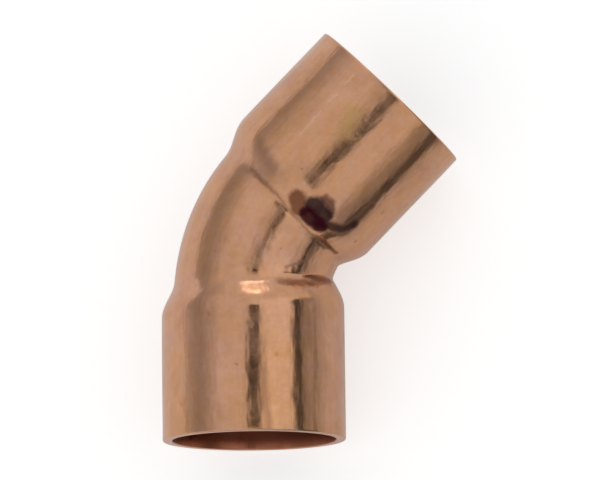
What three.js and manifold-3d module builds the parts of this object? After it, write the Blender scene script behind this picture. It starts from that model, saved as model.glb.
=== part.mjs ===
// A 45 degree copper solder elbow for 15.9 mm (5/8 in) outside diameter tube, the 1/2 in nominal size.
// It is drawn from one length of tube: two sockets, a swaged shoulder behind each, and a short bend.
// Millimetres, +Z up. The elbow lies on its side: one socket opens along -Y, the other along +X +Y,
// and the origin is under the middle of its bounding box, on the surface that it rests on.
import * as THREE from 'three';
import { mergeVertices } from 'three/addons/utils/BufferGeometryUtils.js';
import Module from 'manifold-3d';

const bendAngle = Math.PI / 4;
const centreToEnd = 19.7;
const socketOuterRadius = 8.95;
const socketBoreRadius = 7.99;
const socketStraight = 12.0;
const boreStraight = 12.2;
const shoulderLength = 4.3;
const neckOuterRadius = 7.45;
const neckBoreRadius = 6.55;
const bendOuterRadius = 7.75;
const bendBoreRadius = 6.85;
const bendCentrelineRadius = 14.3;
const rimEdgeRadius = 0.15;
const boreOvershoot = 1;

const roundSegments = 40;
const shoulderSteps = 7;
const rimSteps = 3;
const bendSteps = 9;

const wasm = await Module();
wasm.setup();

// A socket's outline from mouth to neck, as radius against distance from the mouth. The straight part
// runs into a shoulder that follows half a cosine wave down to the neck.
function shoulderProfile(startRadius, endRadius, straight) {
  const points = [];
  for (let i = 0; i <= shoulderSteps; i += 1) {
    const share = i / shoulderSteps;
    const drop = (startRadius - endRadius) * (1 - Math.cos(Math.PI * share)) / 2;
    points.push(new THREE.Vector2(startRadius - drop, straight + shoulderLength * share));
  }
  return points;
}

function outerProfile() {
  const points = [new THREE.Vector2(0, 0)];
  for (let i = 0; i <= rimSteps; i += 1) {
    const angle = (Math.PI / 2) * (i / rimSteps);
    const radius = socketOuterRadius - rimEdgeRadius * (1 - Math.sin(angle));
    points.push(new THREE.Vector2(radius, rimEdgeRadius * (1 - Math.cos(angle))));
  }
  points.push(...shoulderProfile(socketOuterRadius, neckOuterRadius, socketStraight));
  points.push(new THREE.Vector2(0, socketStraight + shoulderLength));
  return points;
}

function boreProfile() {
  return [
    new THREE.Vector2(0, -boreOvershoot),
    new THREE.Vector2(socketBoreRadius, -boreOvershoot),
    ...shoulderProfile(socketBoreRadius, neckBoreRadius, boreStraight),
    new THREE.Vector2(0, boreStraight + shoulderLength),
  ];
}

// Turns a profile about its axis and sets its mouth at the end of one leg of the elbow. A leg's
// direction is the way that its mouth faces, in the XY plane.
function legGeometry(profile, direction) {
  const geometry = new THREE.LatheGeometry(profile, roundSegments);
  const inward = direction.clone().negate();
  const up = new THREE.Vector3(0, 0, 1);
  const side = new THREE.Vector3().crossVectors(inward, up);
  geometry.applyMatrix4(new THREE.Matrix4().makeBasis(side, inward, up));
  return geometry.translate(...direction.clone().multiplyScalar(centreToEnd).toArray());
}

class BendArc extends THREE.Curve {
  getPoint(share, target = new THREE.Vector3()) {
    const angle = bendAngle * share;
    const tangentLength = bendCentrelineRadius * Math.tan(bendAngle / 2);
    const x = bendCentrelineRadius * (1 - Math.cos(angle));
    return target.set(x, bendCentrelineRadius * Math.sin(angle) - tangentLength, 0);
  }
}

function bendGeometry(radius) {
  const section = new THREE.Shape();
  for (let i = 0; i < roundSegments; i += 1) {
    const angle = (2 * Math.PI * i) / roundSegments;
    const x = radius * Math.cos(angle);
    const y = radius * Math.sin(angle);
    if (i === 0) {
      section.moveTo(x, y);
    } else {
      section.lineTo(x, y);
    }
  }
  section.closePath();
  return new THREE.ExtrudeGeometry(section, { steps: bendSteps, extrudePath: new BendArc() });
}

function toSolid(geometry) {
  geometry.deleteAttribute('normal');
  geometry.deleteAttribute('uv');
  const merged = mergeVertices(geometry, 1e-4);
  const vertProperties = new Float32Array(merged.attributes.position.array);
  const triVerts = new Uint32Array(merged.index.array);
  return new wasm.Manifold(new wasm.Mesh({ numProp: 3, vertProperties, triVerts }));
}

function toGeometry(solid) {
  const mesh = solid.getMesh();
  const geometry = new THREE.BufferGeometry();
  geometry.setAttribute('position', new THREE.BufferAttribute(mesh.vertProperties, 3));
  geometry.setIndex(new THREE.BufferAttribute(mesh.triVerts, 1));
  return geometry;
}

const lowerLeg = new THREE.Vector3(0, -1, 0);
const upperLeg = new THREE.Vector3(Math.sin(bendAngle), Math.cos(bendAngle), 0);

function elbowSolid(profile, bendRadius) {
  const lower = toSolid(legGeometry(profile, lowerLeg));
  const upper = toSolid(legGeometry(profile, upperLeg));
  const bend = toSolid(bendGeometry(bendRadius));
  return lower.add(upper).add(bend);
}

const outside = elbowSolid(outerProfile(), bendOuterRadius);
const waterway = elbowSolid(boreProfile(), bendBoreRadius);
const elbowGeometry = toGeometry(outside.subtract(waterway));

// Sets the origin under the middle of the bounding box.
elbowGeometry.computeBoundingBox();
const { min, max } = elbowGeometry.boundingBox;
elbowGeometry.translate(-(min.x + max.x) / 2, -(min.y + max.y) / 2, -min.z);

const copper = new THREE.MeshStandardMaterial({ color: 0xb98263, roughness: 0.36, metalness: 1 });
const elbowBody = new THREE.Mesh(elbowGeometry, copper);
elbowBody.name = 'elbow_body';

const elbow = new THREE.Group();
elbow.add(elbowBody);

export default elbow;
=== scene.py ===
import math

import bpy
from mathutils import Euler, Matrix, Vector
from mathutils.geometry import intersect_point_line


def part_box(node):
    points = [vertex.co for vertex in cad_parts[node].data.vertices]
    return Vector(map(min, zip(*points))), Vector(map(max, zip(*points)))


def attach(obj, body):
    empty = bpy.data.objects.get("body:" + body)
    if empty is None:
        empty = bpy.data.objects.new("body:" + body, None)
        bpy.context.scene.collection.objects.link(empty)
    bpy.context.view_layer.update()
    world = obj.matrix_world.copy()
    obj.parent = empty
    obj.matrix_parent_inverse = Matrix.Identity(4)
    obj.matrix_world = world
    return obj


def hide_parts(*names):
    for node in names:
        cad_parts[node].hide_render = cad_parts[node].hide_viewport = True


# 45 degree copper solder elbow, drawn from one length of tube: skin, bore and rims are one mesh.

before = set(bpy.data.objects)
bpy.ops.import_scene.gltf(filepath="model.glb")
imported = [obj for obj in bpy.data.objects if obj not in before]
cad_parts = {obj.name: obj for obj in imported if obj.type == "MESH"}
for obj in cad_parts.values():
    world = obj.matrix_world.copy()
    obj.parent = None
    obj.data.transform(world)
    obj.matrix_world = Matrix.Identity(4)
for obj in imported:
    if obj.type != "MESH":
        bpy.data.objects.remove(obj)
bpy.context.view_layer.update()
print("frame loaded:", ", ".join(sorted(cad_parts)))

mm = 0.001

elbow = {
    "bendAngle": math.radians(45),
    "centreToEnd": 19.7 * mm,  # from where the two axes meet to each mouth
    "bendRadius": 14.3 * mm,  # of the bend's centreline
    "shoulderLength": 4.3 * mm,
    "segments": 200,
    "shoulderRings": 10,
    "bendRings": 64,
    "rimOuterEdge": 0.15 * mm,
    "rimInnerEdge": 0.12 * mm,
    "seamAt": 4.67 * mm,  # from the meeting point to where each shoulder dies into the bend
    "seamReach": 2.2 * mm,
    "lowerFullness": 1.0 * mm,  # how much later a shoulder starts on the inside of the bend
    "upperFullness": 0.6 * mm,
    "outerEase": 0.12,  # how much longer the upper shoulder is on the outside of the bend
    "innerFlat": 0.97,  # the inside of the bend is squeezed a little
    "wobble": 0.08 * mm,  # how uneven the swaging left the shoulders
    "wobbleSize": 3.0 * mm,
    "dents": 0.035 * mm,  # how uneven the drawing left the rest
    "dentSize": 6.0 * mm,
    "trueMouth": 0.3 * mm,  # dents start this far in from a mouth, and are full 1 mm further
}
# faint folds that run round the bend, by how far they lean from the top towards its inside
ridges = [
    {"lean": math.radians(10.8), "height": 0.035 * mm, "halfWidth": math.radians(4)},
    {"lean": math.radians(45), "height": 0.09 * mm, "halfWidth": math.radians(6)},
]
# creases and lips left by the swage, in mm on the unrolled tube: each point is around, then along
pressedLines = [
    {
        "points": [(-3.4, 10.2), (0.5, 10.1), (6.5, 8.85), (9.0, 8.7)],
        "height": -0.055,
        "halfWidth": 0.4,
    },
    {
        "points": [(-9.0, 0.3), (-3.1, 1.1), (0.9, 1.5), (5.5, 2.1), (8.5, 2.5)],
        "height": 0.035,
        "halfWidth": 0.4,
    },
    {
        "points": [(3.0, 0.9), (6.6, 1.5), (8.5, 1.7)],
        "height": -0.015,
        "halfWidth": 0.5,
    },
]
outerWall = {
    "socket": 8.95 * mm,
    "straight": 12.0 * mm,
    "neck": 7.45 * mm,
    "bend": 7.75 * mm,
    "cover": 10.4 * mm,  # radius of the loose tube before it is shrunk on
    "socketRings": 40,
    "seamSmoothing": 20,
}
boreWall = {
    "socket": 7.99 * mm,
    "straight": 12.2 * mm,
    "neck": 6.55 * mm,
    "bend": 6.85 * mm,
    "cover": 9.6 * mm,
    "socketRings": 12,
    "seamSmoothing": 8,
}
mold = {
    "segments": 480,
    "shoulderRings": 40,
    "bendRings": 128,
    "overrun": 1.0 * mm,  # how far it passes each mouth
}
touching = 0.001 * mm  # points closer than this are merged
nearby = 0.01 * mm  # how closely a point has to sit on a mouth's ring
rimDepth = 0.02 * mm  # faces this close to a mouth are its cut ring

tangentLength = elbow["bendRadius"] * math.tan(elbow["bendAngle"] / 2)
lowerAxis = Vector((0, 1, 0))
upperAxis = Vector((math.sin(elbow["bendAngle"]), math.cos(elbow["bendAngle"]), 0))
upperSide = Vector((upperAxis.y, -upperAxis.x, 0))
bendCentre = Vector((elbow["bendRadius"], -tangentLength, 0))

# Everything is made about the point where the two axes meet, and put in place when it is whole.
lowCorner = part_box("elbow_body")[0]
socketRadius = outerWall["socket"]
meetingPoint = lowCorner + Vector((socketRadius, elbow["centreToEnd"], socketRadius))


def deselectAll():
    if bpy.context.mode != "OBJECT":
        bpy.ops.object.mode_set(mode="OBJECT")
    bpy.ops.object.select_all(action="DESELECT")


def pick(*pieces):
    deselectAll()
    for piece in pieces:
        piece.select_set(True)
    bpy.context.view_layer.objects.active = pieces[0]


def applyModifier(piece, kind, **settings):
    pick(piece)
    modifier = piece.modifiers.new(kind.lower(), kind)
    for name, value in settings.items():
        setattr(modifier, name, value)
    bpy.ops.object.modifier_apply(modifier=modifier.name)


def startRing(name, radius, y, segments):
    # a ring about the lower axis, left in edit mode with all of it selected
    deselectAll()
    bpy.ops.mesh.primitive_circle_add(
        vertices=segments, radius=radius, location=(0, y, 0), rotation=(math.radians(90), 0, 0)
    )
    ring = bpy.context.object
    ring.name = name
    bpy.ops.object.transform_apply(location=True, rotation=True, scale=True)
    bpy.ops.object.mode_set(mode="EDIT")
    bpy.ops.mesh.select_all(action="SELECT")
    return ring


def pullRing(direction, distance):
    bpy.ops.mesh.extrude_region_move(TRANSFORM_OT_translate={"value": direction * distance})


def spinBend(steps):
    bpy.ops.mesh.spin(
        steps=steps,
        angle=elbow["bendAngle"],
        center=(elbow["bendRadius"], -tangentLength, 0),
        axis=(0, 0, 1),
    )


def shoulderRadius(wall, share):
    # half a cosine wave from the socket down to the neck
    return wall["socket"] + (wall["neck"] - wall["socket"]) * (1 - math.cos(math.pi * share)) / 2


def makeLegMold(name, wall):
    mouth = -elbow["centreToEnd"]
    leg = startRing(name, wall["socket"], mouth - mold["overrun"], mold["segments"])
    pullRing(lowerAxis, mold["overrun"] + wall["straight"])
    step = elbow["shoulderLength"] / mold["shoulderRings"]
    y = mouth + wall["straight"]
    for i in range(mold["shoulderRings"]):
        pullRing(lowerAxis, step)
        y += step
        before = shoulderRadius(wall, i / mold["shoulderRings"])
        after = shoulderRadius(wall, (i + 1) / mold["shoulderRings"])
        shrink = after / before
        bpy.ops.transform.resize(value=(shrink, 1, shrink), center_override=(0, y, 0))
    deselectAll()
    return leg


def shapeShoulder(leg, wall, innerSide, fullness, ease):
    # a swaged shoulder isn't even: it starts later inside the bend, and may start sooner outside it
    start = wall["straight"] - elbow["centreToEnd"]
    end = start + elbow["shoulderLength"]
    for vertex in leg.data.vertices:
        side = innerSide * vertex.co.x / math.hypot(vertex.co.x, vertex.co.z)
        if vertex.co.y < start - touching:
            continue
        if side > 0:
            vertex.co.y += fullness * side**2
        else:
            vertex.co.y = end - (end - vertex.co.y) * (1 + ease * side**2)


def foldBendRing(ring):
    bpy.ops.object.mode_set(mode="OBJECT")
    for vertex in ring.data.vertices:
        lean = math.atan2(vertex.co.x, vertex.co.z)
        radius = math.hypot(vertex.co.x, vertex.co.z)
        rise = sum(
            fold["height"] * math.exp(-(((lean - fold["lean"]) / fold["halfWidth"]) ** 2))
            for fold in ridges
        )
        vertex.co.x *= (radius + rise) / radius * (elbow["innerFlat"] if lean > 0 else 1)
        vertex.co.z *= (radius + rise) / radius
    bpy.ops.object.mode_set(mode="EDIT")
    bpy.ops.mesh.select_all(action="SELECT")


def makeMold(name, wall):
    lower = makeLegMold(name + "Lower", wall)
    shapeShoulder(lower, wall, 1, elbow["lowerFullness"], 0)
    upper = makeLegMold(name + "Upper", wall)
    shapeShoulder(upper, wall, -1, elbow["upperFullness"], elbow["outerEase"])
    upper.rotation_euler.z = math.pi - elbow["bendAngle"]
    bend = startRing(name, wall["bend"], -tangentLength, mold["segments"])
    foldBendRing(bend)
    spinBend(mold["bendRings"])
    pick(bend, lower, upper)
    bpy.ops.object.join()
    return bend


def pullLeg(direction, lengths):
    for length in lengths:
        pullRing(direction, length)


def makeWall(name, wall, inward):
    # a loose tube that follows the elbow, shrunk onto a mold of two sockets and a bend
    shape = makeMold(name + "Mold", wall)
    shoulder = elbow["centreToEnd"] - tangentLength - wall["straight"]
    socketSteps = [wall["straight"] / wall["socketRings"]] * wall["socketRings"]
    shoulderSteps = [shoulder / elbow["shoulderRings"]] * elbow["shoulderRings"]
    skin = startRing(name, wall["cover"], -elbow["centreToEnd"], elbow["segments"])
    pullLeg(lowerAxis, socketSteps + shoulderSteps)
    spinBend(elbow["bendRings"])
    pullLeg(upperAxis, shoulderSteps + socketSteps)
    bpy.ops.mesh.select_all(action="SELECT")
    bpy.ops.mesh.remove_doubles(threshold=touching)
    bpy.ops.mesh.normals_make_consistent(inside=False)
    applyModifier(
        skin,
        "SHRINKWRAP",
        wrap_method="PROJECT",
        use_negative_direction=True,
        use_positive_direction=False,
        target=shape,
    )
    bpy.data.objects.remove(shape)

    weigh(skin, "seam", seamWeight)
    weigh(skin, "inside", insideWeight)
    applyModifier(skin, "SMOOTH", factor=0.5, iterations=wall["seamSmoothing"], vertex_group="seam")
    press(skin, "seam", elbow["wobble"], elbow["wobbleSize"])
    if not inward:
        press(skin, "inside", elbow["dents"], elbow["dentSize"])
        for number, line in enumerate(pressedLines):
            group = "line" + str(number)
            weigh(skin, group, lambda point: lineWeight(point, line))
            height = line["height"] * mm
            applyModifier(skin, "DISPLACE", mid_level=0.0, strength=height, vertex_group=group)
    else:
        pick(skin)
        bpy.ops.object.mode_set(mode="EDIT")
        bpy.ops.mesh.select_all(action="SELECT")
        bpy.ops.mesh.flip_normals()
    deselectAll()
    return skin


def weigh(piece, name, weight):
    group = piece.vertex_groups.new(name=name)
    for vertex in piece.data.vertices:
        group.add([vertex.index], min(max(weight(vertex.co), 0), 1), "REPLACE")


def press(piece, group, strength, size):
    clouds = bpy.data.textures.new(piece.name + group, "CLOUDS")
    clouds.noise_scale = size
    applyModifier(
        piece,
        "DISPLACE",
        texture=clouds,
        texture_coords="LOCAL",
        strength=strength,
        vertex_group=group,
    )


def seamWeight(point):
    return 1 - abs(alongLeg(point) - elbow["seamAt"]) / elbow["seamReach"]


def insideWeight(point):
    return (elbow["centreToEnd"] - elbow["trueMouth"] - alongLeg(point)) / mm


def lineWeight(point, line):
    place = unrolled(point)
    points = [Vector(spot) for spot in line["points"]]
    nearest = min(gapTo(place, start, end) for start, end in zip(points, points[1:]))
    return math.exp(-((nearest / line["halfWidth"]) ** 2))


def gapTo(place, start, end):
    share = intersect_point_line(place, start, end)[1]
    return (place - start.lerp(end, min(max(share, 0), 1))).length


def unrolled(point):
    # mm around from the top at the socket's radius, and mm along from the start of the bend
    place = straightened(point)
    return Vector((math.atan2(place.x, place.y) * socketRadius / mm, place.z))


def alongLeg(point):
    # distance from the axes' meeting point towards the nearer mouth
    return max(-point.dot(lowerAxis), point.dot(upperAxis))


def offAxis(point):
    axis = lowerAxis if -point.dot(lowerAxis) > point.dot(upperAxis) else upperAxis
    return (point - axis * point.dot(axis)).length


def selectMouthRings(piece, mouths, radii):
    # the rings of edges on these mouths whose radius is one of these
    deselectAll()
    mesh = piece.data
    mesh.vertices.foreach_set("select", [False] * len(mesh.vertices))
    mesh.polygons.foreach_set("select", [False] * len(mesh.polygons))
    onRing = []
    for vertex in mesh.vertices:
        atMouth = any(abs(vertex.co.dot(way) - elbow["centreToEnd"]) < nearby for way in mouths)
        atRadius = any(abs(offAxis(vertex.co) - radius) < nearby for radius in radii)
        onRing.append(atMouth and atRadius)
    for edge in mesh.edges:
        edge.select = onRing[edge.vertices[0]] and onRing[edge.vertices[1]]
    pick(piece)
    bpy.ops.object.mode_set(mode="EDIT")
    bpy.ops.mesh.select_mode(type="EDGE")


def makeElbow():
    skin = makeWall("copperElbow", outerWall, False)
    print("outside shrunk on:", len(skin.data.vertices), "points")
    bore = makeWall("copperBore", boreWall, True)
    print("bore shrunk on:", len(bore.data.vertices), "points")
    pick(skin, bore)
    bpy.ops.object.join()
    bothMouths = (-lowerAxis, upperAxis)
    for mouth in bothMouths:
        selectMouthRings(skin, (mouth,), (outerWall["socket"], boreWall["socket"]))
        bpy.ops.mesh.bridge_edge_loops()
    for radius, width, steps in (
        (outerWall["socket"], elbow["rimOuterEdge"], 5),
        (boreWall["socket"], elbow["rimInnerEdge"], 3),
    ):
        selectMouthRings(skin, bothMouths, (radius,))
        bpy.ops.mesh.bevel(offset=width, segments=steps, affect="EDGES")
    deselectAll()
    return skin


def straightened(point):
    # where a point would lie, in mm, if the elbow were unbent: across, up and along the tube
    beforeBend = point.y + tangentLength
    afterBend = point.dot(upperAxis) - tangentLength
    if beforeBend < 0:
        place = Vector((point.x, point.z, beforeBend))
    elif afterBend > 0:
        bendLength = elbow["bendRadius"] * elbow["bendAngle"]
        place = Vector((point.dot(upperSide), point.z, bendLength + afterBend))
    else:
        fromCentre = point - bendCentre
        turned = math.atan2(fromCentre.y, -fromCentre.x)
        out = math.hypot(fromCentre.x, fromCentre.y)
        place = Vector((elbow["bendRadius"] - out, point.z, elbow["bendRadius"] * turned))
    return place / mm


def giveGrain(piece):
    # drawn lines follow the tube round the bend, so they read this instead of plain object space
    grain = piece.data.attributes.new("straightened", "FLOAT_VECTOR", "POINT")
    for vertex in piece.data.vertices:
        grain.data[vertex.index].vector = straightened(vertex.co)


copperElbow = makeElbow()
print("rims closed:", len(copperElbow.data.polygons), "faces")
giveGrain(copperElbow)
copperElbow.location = meetingPoint
pick(copperElbow)
bpy.ops.object.transform_apply(location=True, rotation=True, scale=True)
bpy.ops.object.shade_smooth()
deselectAll()


# Materials: three coppers, mixed from four shared groups of nodes


def addNode(tree, kind, inputs=None, **settings):
    made = tree.nodes.new(kind)
    for name, value in settings.items():
        setattr(made, name, value)
    for name, value in (inputs or {}).items():
        if isinstance(value, bpy.types.NodeSocket):
            tree.links.new(value, made.inputs[name])
        else:
            made.inputs[name].default_value = value
    return made


def makeGroup(name, inputs, outputs):
    group = bpy.data.node_groups.new(name, "ShaderNodeTree")
    for title, kind, value in inputs:
        socket = group.interface.new_socket(title, in_out="INPUT", socket_type=kind)
        socket.default_value = value
    for title, kind in outputs:
        group.interface.new_socket(title, in_out="OUTPUT", socket_type=kind)
    return group, group.nodes.new("NodeGroupInput"), group.nodes.new("NodeGroupOutput")


def calc(tree, operation, first, second):
    return addNode(tree, "ShaderNodeMath", {0: first, 1: second}, operation=operation).outputs[0]


def dot(tree, first, second):
    made = addNode(tree, "ShaderNodeVectorMath", {0: first, 1: second}, operation="DOT_PRODUCT")
    return made.outputs["Value"]


def vectorMath(tree, operation, first, second, scale=None):
    inputs = {0: first}
    if second is not None:
        inputs[1] = second
    if scale is not None:
        inputs["Scale"] = scale
    return addNode(tree, "ShaderNodeVectorMath", inputs, operation=operation).outputs["Vector"]


def useGroup(tree, group, **inputs):
    return addNode(tree, "ShaderNodeGroup", inputs, node_tree=group).outputs[0]


def mixColor(tree, mask, first, second, blend="MIX"):
    inputs = {0: mask, 6: first, 7: second}  # of its many sockets, the ones for colors
    mix = addNode(tree, "ShaderNodeMix", inputs, data_type="RGBA", blend_type=blend)
    return mix.outputs[2]


def spread(tree, value, fromLow, fromHigh, toLow, toHigh, shape="LINEAR"):
    return addNode(
        tree,
        "ShaderNodeMapRange",
        {
            "Value": value,
            "From Min": fromLow,
            "From Max": fromHigh,
            "To Min": toLow,
            "To Max": toHigh,
        },
        interpolation_type=shape,
    ).outputs["Result"]


def makeDrawLines():
    # fine lines that the drawing die leaves along the tube
    group, given, result = makeGroup(
        "drawLines",
        [("Fineness", "NodeSocketFloat", 3.0), ("Run", "NodeSocketFloat", 0.12)],
        [("Lines", "NodeSocketFloat")],
    )
    grain = addNode(group, "ShaderNodeAttribute", attribute_name="straightened")
    fineness = given.outputs["Fineness"]
    scale = addNode(
        group,
        "ShaderNodeCombineXYZ",
        {"X": fineness, "Y": fineness, "Z": given.outputs["Run"]},
    )
    stretched = vectorMath(group, "MULTIPLY", grain.outputs["Vector"], scale.outputs["Vector"])
    noise = addNode(
        group,
        "ShaderNodeTexNoise",
        {"Vector": stretched, "Scale": 1.0, "Detail": 3.0, "Roughness": 0.6},
    )
    group.links.new(noise.outputs["Fac"], result.inputs["Lines"])
    return group


def makeMottle():
    # cloudy tarnish and finer grain, sized in mm
    group, given, result = makeGroup(
        "mottle",
        [("Size", "NodeSocketFloat", 4.0), ("Contrast", "NodeSocketFloat", 0.25)],
        [("Mottle", "NodeSocketFloat")],
    )
    coords = addNode(group, "ShaderNodeTexCoord")
    scale = calc(group, "DIVIDE", 1 / mm, given.outputs["Size"])
    noise = addNode(
        group,
        "ShaderNodeTexNoise",
        {
            "Vector": coords.outputs["Object"],
            "Scale": scale,
            "Detail": 6.0,
            "Roughness": 0.62,
            "Distortion": 0.4,
        },
    )
    low = calc(group, "SUBTRACT", 0.5, given.outputs["Contrast"])
    high = calc(group, "ADD", 0.5, given.outputs["Contrast"])
    clouds = spread(group, noise.outputs["Fac"], low, high, 0, 1)
    group.links.new(clouds, result.inputs["Mottle"])
    return group


def makeStroke():
    # a stroke of dirt, wear or painted shade between two points of the unrolled tube: mm around and
    # mm along
    group, given, result = makeGroup(
        "stroke",
        [
            ("Start", "NodeSocketVector", (0, 0, 0)),
            ("End", "NodeSocketVector", (0, 1, 0)),
            ("Width", "NodeSocketFloat", 0.5),
            ("Soft", "NodeSocketFloat", 0.2),
            ("Ragged", "NodeSocketFloat", 0.3),
        ],
        [("Mask", "NodeSocketFloat")],
    )
    grain = addNode(group, "ShaderNodeAttribute", attribute_name="straightened")
    parts = addNode(group, "ShaderNodeSeparateXYZ", {"Vector": grain.outputs["Vector"]})
    lean = calc(group, "ARCTAN2", parts.outputs["X"], parts.outputs["Y"])
    around = calc(group, "MULTIPLY", lean, socketRadius / mm)
    flat = addNode(group, "ShaderNodeCombineXYZ", {"X": around, "Y": parts.outputs["Z"], "Z": 0.0})
    noise = addNode(
        group, "ShaderNodeTexNoise", {"Vector": grain.outputs["Vector"], "Scale": 1.6, "Detail": 3.0}
    )
    centred = vectorMath(group, "SUBTRACT", noise.outputs["Color"], (0.5, 0.5, 0.5))
    ragged = vectorMath(group, "SCALE", centred, None, given.outputs["Ragged"])
    inPlane = vectorMath(group, "MULTIPLY", ragged, (1.0, 1.0, 0.0))
    place = vectorMath(group, "ADD", flat.outputs["Vector"], inPlane)
    fromStart = vectorMath(group, "SUBTRACT", place, given.outputs["Start"])
    whole = vectorMath(group, "SUBTRACT", given.outputs["End"], given.outputs["Start"])
    done = dot(group, fromStart, whole)
    share = calc(group, "DIVIDE", done, dot(group, whole, whole))
    share.node.use_clamp = True
    nearest = vectorMath(group, "SCALE", whole, None, share)
    away = vectorMath(group, "SUBTRACT", fromStart, nearest)
    length = addNode(group, "ShaderNodeVectorMath", {0: away}, operation="LENGTH")
    low = calc(group, "SUBTRACT", given.outputs["Width"], given.outputs["Soft"])
    high = calc(group, "ADD", given.outputs["Width"], given.outputs["Soft"])
    mask = spread(group, length.outputs["Value"], low, high, 1.0, 0.0, "SMOOTHSTEP")
    group.links.new(mask, result.inputs["Mask"])
    return group


def makePits():
    # sparse small specks; their sizes are shares of the spacing, which is in mm
    smallest = 0.06
    growth = 0.14
    core = 0.03
    group, given, result = makeGroup(
        "pits",
        [("Spacing", "NodeSocketFloat", 2.0), ("Share", "NodeSocketFloat", 0.3)],
        [("Mask", "NodeSocketFloat")],
    )
    coords = addNode(group, "ShaderNodeTexCoord")
    scale = calc(group, "DIVIDE", 1 / mm, given.outputs["Spacing"])
    cells = addNode(
        group, "ShaderNodeTexVoronoi", {"Vector": coords.outputs["Object"], "Scale": scale}
    )
    draw = addNode(group, "ShaderNodeSeparateColor", {"Color": cells.outputs["Color"]})
    chosen = calc(group, "LESS_THAN", draw.outputs["Red"], given.outputs["Share"])
    size = calc(group, "MULTIPLY", draw.outputs["Green"], growth)
    edge = calc(group, "ADD", size, smallest)
    spot = spread(group, cells.outputs["Distance"], core, edge, 1.0, 0.0, "SMOOTHSTEP")
    mask = calc(group, "MULTIPLY", spot, chosen)
    group.links.new(mask, result.inputs["Mask"])
    return group


drawLines = makeDrawLines()
mottle = makeMottle()
stroke = makeStroke()
pits = makePits()


def startMaterial(name):
    material = bpy.data.materials.new(name)
    material.use_nodes = True
    shader = material.node_tree.nodes["Principled BSDF"]
    shader.inputs["Metallic"].default_value = 1.0
    return material, material.node_tree, shader
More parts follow.
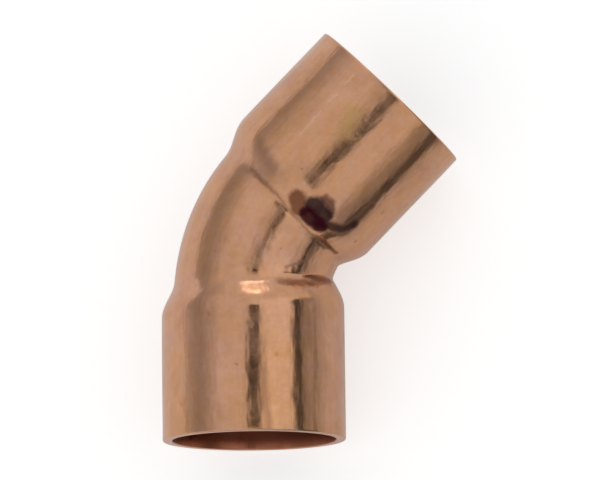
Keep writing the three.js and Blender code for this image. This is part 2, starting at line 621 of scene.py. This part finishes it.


# stains, scratches, and painted shade and reflections along creases, folds and a hollow, in mm on
# the unrolled tube: each point is around, then along
stainsAndPaintedShade = [
    # painted shade: dark line in the crease under the upper shoulder, and where it runs out inside
    # the bend
    {
        "points": [(-4.2, 10.5), (-1.0, 10.2), (0.5, 10.1), (6.4, 8.9)],
        "halfWidth": 0.14,
        "soft": 0.22,
        "ragged": 0.6,
        "strength": 0.62,
        "color": (0.26, 0.13, 0.08, 1),
    },
    {
        "points": [(6.9, 9.0), (9.0, 9.0), (10.6, 8.85)],
        "halfWidth": 0.34,
        "soft": 0.3,
        "ragged": 0.5,
        "strength": 0.85,
        "color": (0.24, 0.12, 0.075, 1),
    },
    # painted reflection: dark line along the fold on the inside of the bend
    {
        "points": [(6.6, 8.8), (8.0, 7.6), (7.4, 5.3), (6.4, 4.3), (4.9, 3.2)],
        "halfWidth": 0.16,
        "soft": 0.22,
        "ragged": 0.4,
        "strength": 0.45,
        "color": (0.28, 0.15, 0.09, 1),
    },
    # painted reflection: brown band along the groove over the lower shoulder, and its end inside the
    # bend
    {
        "points": [(4.2, 1.1), (7.8, 1.6), (11.2, 2.5)],
        "halfWidth": 0.4,
        "soft": 0.35,
        "ragged": 0.6,
        "strength": 0.7,
        "color": (0.42, 0.2, 0.11, 1),
    },
    {
        "points": [(8.6, 2.5), (11.8, 3.2)],
        "halfWidth": 0.5,
        "soft": 0.3,
        "ragged": 0.5,
        "strength": 0.8,
        "color": (0.26, 0.14, 0.09, 1),
    },
    # painted reflection: dark line along the fold on top of the bend
    {
        "points": [(1.6, 9.6), (1.8, 7.6), (1.7, 5.0), (1.4, 3.6)],
        "halfWidth": 0.14,
        "soft": 0.25,
        "ragged": 0.9,
        "strength": 0.4,
        "color": (0.34, 0.17, 0.1, 1),
    },
    # painted dark reflection in the hollow under the upper shoulder: its right edge, its tail along
    # the upper socket, then the blotch itself
    {
        "points": [(4.2, 13.0), (4.9, 13.1), (5.6, 12.4)],
        "halfWidth": 0.48,
        "soft": 0.28,
        "ragged": 0.5,
        "strength": 0.86,
        "color": (0.18, 0.075, 0.05, 1),
    },
    {
        "points": [(5.6, 10.6), (6.6, 11.5), (7.9, 12.1), (8.4, 13.2)],
        "halfWidth": 0.52,
        "soft": 0.34,
        "ragged": 0.4,
        "strength": 0.93,
        "color": (0.06, 0.022, 0.022, 1),
    },
    {
        "points": [(8.4, 13.2), (8.4, 15.8)],
        "halfWidth": 0.34,
        "soft": 0.3,
        "ragged": 0.4,
        "strength": 0.75,
        "color": (0.08, 0.03, 0.03, 1),
    },
    {
        "points": [(2.2, 11.2), (3.1, 10.6)],
        "halfWidth": 0.9,
        "soft": 0.3,
        "ragged": 0.5,
        "strength": 0.88,
        "color": (0.21, 0.075, 0.034, 1),
    },
    {
        "points": [(3.9, 11.9), (5.3, 11.7)],
        "halfWidth": 0.95,
        "soft": 0.3,
        "ragged": 0.5,
        "strength": 0.97,
        "color": (0.05, 0.022, 0.026, 1),
    },
    {
        "points": [(4.2, 10.65), (5.9, 10.6)],
        "halfWidth": 0.98,
        "soft": 0.28,
        "ragged": 0.5,
        "strength": 0.98,
        "color": (0.05, 0.005, 0.012, 1),
    },
    # smudge on the upper shoulder, yellow stain on the upper socket, streak on the lower one
    {
        "points": [(-4.9, 12.7), (-4.7, 12.0)],
        "halfWidth": 0.6,
        "soft": 0.6,
        "ragged": 0.6,
        "strength": 0.5,
        "color": (0.42, 0.23, 0.14, 1),
    },
    {
        "points": [(0.2, 20.8), (1.0, 19.4)],
        "halfWidth": 1.0,
        "soft": 0.8,
        "ragged": 2.6,
        "strength": 0.5,
        "color": (0.72, 0.45, 0.15, 1),
    },
    {
        "points": [(2.2, -8.0), (2.8, -13.5)],
        "halfWidth": 0.3,
        "soft": 0.35,
        "ragged": 0.3,
        "strength": 0.55,
        "color": (0.56, 0.27, 0.15, 1),
    },
    # specks on the lower socket
    {
        "points": [(1.0, -3.4), (1.1, -3.6)],
        "halfWidth": 0.3,
        "soft": 0.12,
        "ragged": 0.4,
        "strength": 0.55,
        "color": (0.3, 0.16, 0.11, 1),
    },
    {
        "points": [(-0.4, -7.3), (-0.3, -7.4)],
        "halfWidth": 0.1,
        "soft": 0.08,
        "ragged": 0.2,
        "strength": 0.5,
        "color": (0.36, 0.15, 0.09, 1),
    },
    {
        "points": [(-3.2, -2.2), (-3.1, -2.4)],
        "halfWidth": 0.16,
        "soft": 0.12,
        "ragged": 0.3,
        "strength": 0.5,
        "color": (0.36, 0.18, 0.12, 1),
    },
    # scratch along the upper socket
    {
        "points": [(-2.36, 23.6), (-2.25, 22.3)],
        "halfWidth": 0.08,
        "soft": 0.13,
        "ragged": 0.5,
        "strength": 0.42,
        "color": (1.0, 0.7, 0.52, 1),
    },
    {
        "points": [(-2.1, 21.2), (-2.3, 20.2)],
        "halfWidth": 0.08,
        "soft": 0.14,
        "ragged": 0.6,
        "strength": 0.4,
        "color": (1.0, 0.7, 0.52, 1),
    },
    {
        "points": [(-2.15, 18.9), (-2.0, 15.9)],
        "halfWidth": 0.08,
        "soft": 0.13,
        "ragged": 0.5,
        "strength": 0.42,
        "color": (1.0, 0.7, 0.52, 1),
    },
]


def paintStainsAndShade(tree, base, thinning):
    # mixes stains and scratches into the copper's colour, along with painted shade and reflections
    # in creases, folds and the hollow under the upper shoulder
    dirtAndShade = None
    for stainOrShade in stainsAndPaintedShade:
        covered = None
        for start, end in zip(stainOrShade["points"], stainOrShade["points"][1:]):
            mask = useGroup(
                tree,
                stroke,
                Start=(*start, 0),
                End=(*end, 0),
                Width=stainOrShade["halfWidth"],
                Soft=stainOrShade["soft"],
                Ragged=stainOrShade["ragged"],
            )
            covered = mask if covered is None else calc(tree, "MAXIMUM", covered, mask)
        covered = calc(tree, "MULTIPLY", covered, thinning)
        share = calc(tree, "MULTIPLY", covered, stainOrShade["strength"])
        base = mixColor(tree, share, base, stainOrShade["color"])
        dirtAndShade = share if dirtAndShade is None else calc(tree, "MAXIMUM", dirtAndShade, share)
    return base, dirtAndShade


def addBumps(tree, shader, layers):
    normal = None
    for height, distance in layers:
        inputs = {"Height": height, "Strength": 1.0, "Distance": distance}
        if normal is not None:
            inputs["Normal"] = normal
        normal = addNode(tree, "ShaderNodeBump", inputs).outputs["Normal"]
    tree.links.new(normal, shader.inputs["Normal"])


def makeCopperOutside():
    look = {
        "bright": (0.93, 0.475, 0.268, 1),
        "dull": (0.655, 0.325, 0.184, 1),
        "haze": (0.90, 0.54, 0.38, 1),
        "golden": (1.0, 0.975, 0.84, 1),  # these two tint the copper in clouds
        "rosy": (1.0, 1.01, 1.10, 1),
        "pit": (0.34, 0.17, 0.11, 1),
        "dullPatches": 0.8,
        "dullStreaks": 0.38,
        "streakBand": (0.42, 0.62),  # where in the drawn lines the dull streaks begin and are full
        "dullGrain": 0.35,
        "hazePatches": 0.62,
        "pitDepth": 0.45,
        "thinning": 0.93,  # how much of a stain or painted shade is left where it is thinnest
        "roughness": (0.11, 0.23),
        "dirtRoughness": 0.3,  # what a stain or painted shade adds
        "waveHeight": 0.09 * mm,
        "lineHeight": 0.004 * mm,
        "fineHeight": 0.005 * mm,
    }
    tints = [
        {"size": 7.0, "contrast": 0.15, "share": 1.0},
        {"size": 1.3, "contrast": 0.2, "share": 0.8},
    ]
    material, tree, shader = startMaterial("drawnCopper")
    patches = useGroup(tree, mottle, Size=3.2, Contrast=0.2)
    fine = useGroup(tree, mottle, Size=1.2, Contrast=0.24)
    grain = useGroup(tree, mottle, Size=0.5, Contrast=0.3)
    streaks = useGroup(tree, drawLines, Fineness=1.1, Run=0.07)
    lines = useGroup(tree, drawLines, Fineness=2.6, Run=0.1)
    waves = useGroup(tree, drawLines, Fineness=0.3, Run=0.12)
    specks = useGroup(tree, pits, Spacing=2.4, Share=0.3)

    share = spread(tree, patches, 0, 1, 0, look["dullPatches"])
    base = mixColor(tree, share, look["bright"], look["dull"])
    share = spread(tree, streaks, *look["streakBand"], 0, look["dullStreaks"])
    base = mixColor(tree, share, base, look["dull"])
    share = spread(tree, fine, 0, 1, 0, look["hazePatches"])
    base = mixColor(tree, share, base, look["haze"])
    share = spread(tree, grain, 0, 1, 0, look["dullGrain"])
    base = mixColor(tree, share, base, look["dull"])
    for tint in tints:
        cloud = useGroup(tree, mottle, Size=tint["size"], Contrast=tint["contrast"])
        color = mixColor(tree, cloud, look["golden"], look["rosy"])
        base = mixColor(tree, tint["share"], base, color, "MULTIPLY")
    base = mixColor(tree, calc(tree, "MULTIPLY", specks, look["pitDepth"]), base, look["pit"])
    # real stains, plus painted shade and reflections, from the same list
    painted, dirtAndShade = paintStainsAndShade(tree, base, spread(tree, fine, 0, 1, look["thinning"], 1))
    tree.links.new(painted, shader.inputs["Base Color"])
    polish = spread(tree, patches, 0, 1, *look["roughness"])
    duller = calc(tree, "MULTIPLY", dirtAndShade, look["dirtRoughness"])
    tree.links.new(calc(tree, "ADD", polish, duller), shader.inputs["Roughness"])
    layers = [
        (waves, look["waveHeight"]),
        (lines, look["lineHeight"]),
        (fine, look["fineHeight"]),
    ]
    addBumps(tree, shader, layers)
    return material


def makeCopperBore():
    look = {
        "bright": (0.56, 0.22, 0.12, 1),
        "dull": (0.38, 0.135, 0.07, 1),
        "roughness": (0.24, 0.42),
        "lineHeight": 0.03 * mm,
    }
    material, tree, shader = startMaterial("boreCopper")
    patches = useGroup(tree, mottle, Size=4.0, Contrast=0.2)
    lines = useGroup(tree, drawLines, Fineness=1.2, Run=0.1)
    base = mixColor(tree, patches, look["bright"], look["dull"])
    tree.links.new(base, shader.inputs["Base Color"])
    tree.links.new(spread(tree, patches, 0, 1, *look["roughness"]), shader.inputs["Roughness"])
    addBumps(tree, shader, [(lines, look["lineHeight"])])
    return material


def makeCutCopper():
    look = {
        "bright": (0.90, 0.56, 0.42, 1),
        "dull": (0.84, 0.46, 0.32, 1),
        "roughness": (0.24, 0.40),
        "fineHeight": 0.008 * mm,
    }
    material, tree, shader = startMaterial("cutCopper")
    fine = useGroup(tree, mottle, Size=0.8, Contrast=0.25)
    base = mixColor(tree, fine, look["bright"], look["dull"])
    tree.links.new(base, shader.inputs["Base Color"])
    tree.links.new(spread(tree, fine, 0, 1, *look["roughness"]), shader.inputs["Roughness"])
    addBumps(tree, shader, [(fine, look["fineHeight"])])
    return material


for material in (makeCopperOutside(), makeCopperBore(), makeCutCopper()):
    copperElbow.data.materials.append(material)
print("coppers mixed:", ", ".join(material.name for material in copperElbow.data.materials))


def paintFaces(piece):
    # 0 outside, 1 bore, 2 the cut ring at each mouth
    for face in piece.data.polygons:
        centre = face.center - meetingPoint
        if alongLeg(centre) > elbow["centreToEnd"] - rimDepth:
            face.material_index = 2
        elif face.normal.dot(radial(centre)) < 0:
            face.material_index = 1


def radial(point):
    # straight out from the elbow's centreline
    place = straightened(point)
    if place.z < 0:
        out = Vector((point.x, 0, point.z))
    elif point.dot(upperAxis) > tangentLength:
        out = point - upperAxis * point.dot(upperAxis)
    else:
        flat = point - bendCentre
        flat.z = 0
        out = point - (bendCentre + flat.normalized() * elbow["bendRadius"])
    return out.normalized()


paintFaces(copperElbow)
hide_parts("elbow_body")
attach(copperElbow, "root")
print("elbow finished")


# Studio: a pale floor, a soft bright tent, and dark cards that give the metal something to show


studio = {
    "floorSize": 4.0,
    "floorHeight": -0.02 * mm,
    "paper": (0.8, 0.8, 0.8, 1),
    "glow": (0.18, 0.58),  # the paper's own light, as the copper and the camera see it
    "sideWay": (0.862, -0.507, 0),  # the copper sees darker paper further this way
    "sideFade": (-0.01, 0.07, 1.0, 0.63),  # from and to, in metres, and the levels there
    "frontWay": (0.3, -0.954, 0),
    "frontFade": (0.047, 0.087, 1.0, 0.2),
    "tent": (0.62, 0.62, 0.62, 1),
}
white = (1, 1, 1, 1)


def makeFloor():
    deselectAll()
    bpy.ops.mesh.primitive_plane_add(
        size=studio["floorSize"], location=(0, 0, studio["floorHeight"])
    )
    floor = bpy.context.object
    floor.name = "paleFloor"
    material = bpy.data.materials.new("palePaper")
    material.use_nodes = True
    tree = material.node_tree
    tree.nodes.clear()
    # shown almost white; the copper sees it darker, and darker still further out
    coords = addNode(tree, "ShaderNodeTexCoord")
    side = dot(tree, coords.outputs["Object"], studio["sideWay"])
    front = dot(tree, coords.outputs["Object"], studio["frontWay"])
    falloff = calc(
        tree,
        "MULTIPLY",
        spread(tree, side, *studio["sideFade"]),
        spread(tree, front, *studio["frontFade"]),
    )
    path = addNode(tree, "ShaderNodeLightPath")
    level = mixColor(tree, path.outputs["Is Camera Ray"], falloff, white)
    color = mixColor(tree, 1.0, level, studio["paper"], "MULTIPLY")
    paper = addNode(tree, "ShaderNodeBsdfDiffuse", {"Color": color})
    glow = spread(tree, path.outputs["Is Camera Ray"], 0, 1, *studio["glow"])
    lift = addNode(tree, "ShaderNodeEmission", {"Color": level, "Strength": glow})
    blend = addNode(tree, "ShaderNodeAddShader", {0: paper.outputs[0], 1: lift.outputs[0]})
    addNode(tree, "ShaderNodeOutputMaterial", {"Surface": blend.outputs[0]})
    floor.data.materials.append(material)


# towards: where the card stands; along: its long side
# width and length, from its middle, and the softness of its edges are slopes
cards = [
    # bright window over the right side
    {
        "towards": (0.64, 0.24, 0.73),
        "along": (0, 1, 0),
        "width": 0.34,
        "length": 0.4,
        "soft": 0.3,
        "level": 0.76,
    },
    # broad grey card that shades the left side
    {
        "towards": (-0.8, 0.354, 0.26),
        "along": (-0.184, -0.707, 0.437),
        "width": 0.36,
        "length": 0.9,
        "soft": 0.7,
        "level": 0.32,
    },
    # broad dark card low on the right
    {
        "towards": (0.85, -0.35, 0.16),
        "along": (0.38, 0.92, 0),
        "width": 0.3,
        "length": 1.2,
        "soft": 0.36,
        "level": 0.29,
    },
    # dark bar over the middle of both sockets, where the camera would stand
    {
        "towards": (0.215, -0.03, 0.976),
        "along": (-0.45, 1, 0),
        "width": 0.13,
        "length": 0.21,
        "soft": 0.12,
        "level": 0.05,
    },
    # the same bar where the lower socket shows it
    {
        "towards": (0.145, 0.165, 0.976),
        "along": (0, 1, 0),
        "width": 0.115,
        "length": 0.08,
        "soft": 0.07,
        "level": 0.0,
    },
    # pale gap that keeps the bar off the bend
    {
        "towards": (0.1, 0.044, 0.993),
        "along": (1, 0, 0),
        "width": 0.042,
        "length": 0.3,
        "soft": 0.02,
        "level": 0.55,
    },
    # thin dark card behind the right one, for the sockets' right stripes
    {
        "towards": (0.801, -0.295, 0.175),
        "along": (0.188, 0.849, 0.47),
        "width": 0.1,
        "length": 0.9,
        "soft": 0.08,
        "level": 0.04,
    },
    # darker stripe on the lower socket
    {
        "towards": (0.908, 0.14, 0.405),
        "along": (0, 1, 0),
        "width": 0.105,
        "length": 0.3,
        "soft": 0.09,
        "level": 0.05,
    },
    # paler horizon beside that stripe
    {
        "towards": (0.99, 0.13, 0.03),
        "along": (-0.13, 0.99, 0),
        "width": 0.07,
        "length": 0.12,
        "soft": 0.13,
        "level": 0.42,
    },
    # lamp behind, for the highlight on the lower shoulder
    {
        "towards": (0.05, 0.885, 0.455),
        "along": (1, 0.1, 0.15),
        "width": 0.035,
        "length": 0.14,
        "soft": 0.17,
        "level": 3.4,
    },
]


def makeCardMask():
    grazing = 0.05
    group, given, result = makeGroup(
        "card",
        [
            ("Direction", "NodeSocketVector", (0, 0, 0)),
            ("Towards", "NodeSocketVector", (0, 0, 1)),
            ("Along", "NodeSocketVector", (0, 1, 0)),
            ("Across", "NodeSocketVector", (1, 0, 0)),
            ("Width", "NodeSocketFloat", 0.1),
            ("Length", "NodeSocketFloat", 0.1),
            ("Soft", "NodeSocketFloat", 0.05),
        ],
        [("Mask", "NodeSocketFloat")],
    )
    direction = given.outputs["Direction"]
    front = dot(group, direction, given.outputs["Towards"])
    low = calc(group, "MULTIPLY", given.outputs["Soft"], -0.5)
    high = calc(group, "MULTIPLY", given.outputs["Soft"], 0.5)

    def within(axis, half):
        slope = calc(group, "DIVIDE", dot(group, direction, given.outputs[axis]), front)
        size = calc(group, "ABSOLUTE", slope, 0)
        room = calc(group, "SUBTRACT", given.outputs[half], size)
        return spread(group, room, low, high, 0, 1, "SMOOTHSTEP")

    # a slope says nothing on the far side of the sky
    facing = calc(group, "GREATER_THAN", front, grazing)
    inside = calc(group, "MULTIPLY", within("Across", "Width"), within("Along", "Length"))
    group.links.new(calc(group, "MULTIPLY", inside, facing), result.inputs["Mask"])
    return group


def makeTent():
    world = bpy.data.worlds.new("softTent")
    bpy.context.scene.world = world
    world.use_nodes = True
    tree = world.node_tree
    tree.nodes.clear()
    coords = addNode(tree, "ShaderNodeTexCoord")
    cardMask = makeCardMask()
    shade = studio["tent"]
    for card in cards:
        towards = Vector(card["towards"]).normalized()
        across = Vector(card["along"]).cross(towards).normalized()
        mask = useGroup(
            tree,
            cardMask,
            Direction=coords.outputs["Generated"],
            Towards=towards,
            Along=towards.cross(across),
            Across=across,
            Width=card["width"],
            Length=card["length"],
            Soft=card["soft"],
        )
        level = card["level"]
        shade = mixColor(tree, mask, shade, (level, level, level, 1))
    path = addNode(tree, "ShaderNodeLightPath")
    seen = mixColor(tree, path.outputs["Is Camera Ray"], shade, white)
    background = addNode(tree, "ShaderNodeBackground", {"Color": seen, "Strength": 1.0})
    addNode(tree, "ShaderNodeOutputWorld", {"Surface": background.outputs[0]})


def makeCamera():
    view = {
        "distance": 0.5,  # lens to the point where the axes meet
        "tilt": (math.radians(8.8), math.radians(7.75), math.radians(-1.88)),
        "offset": Vector((-4.685 * mm, -0.107 * mm, 0)),  # how far the meeting point is off centre
        "sensor": 36.0,
        "pictureWidth": 58.9 * mm,  # how wide the picture is at that distance
        "reach": (0.01, 10.0),
    }
    data = bpy.data.cameras.new("camera")
    camera = bpy.data.objects.new("camera", data)
    bpy.context.scene.collection.objects.link(camera)
    turn = Euler(view["tilt"], "ZYX").to_matrix()
    camera.location = meetingPoint + turn @ (Vector((0, 0, view["distance"])) - view["offset"])
    camera.rotation_mode = "QUATERNION"
    camera.rotation_quaternion = turn.to_quaternion()
    data.sensor_width = view["sensor"]
    data.lens = view["sensor"] * view["distance"] / view["pictureWidth"]
    data.clip_start, data.clip_end = view["reach"]
    bpy.context.scene.camera = camera


makeFloor()
makeTent()
makeCamera()
bpy.context.scene.view_settings.view_transform = "Standard"
print("studio ready")
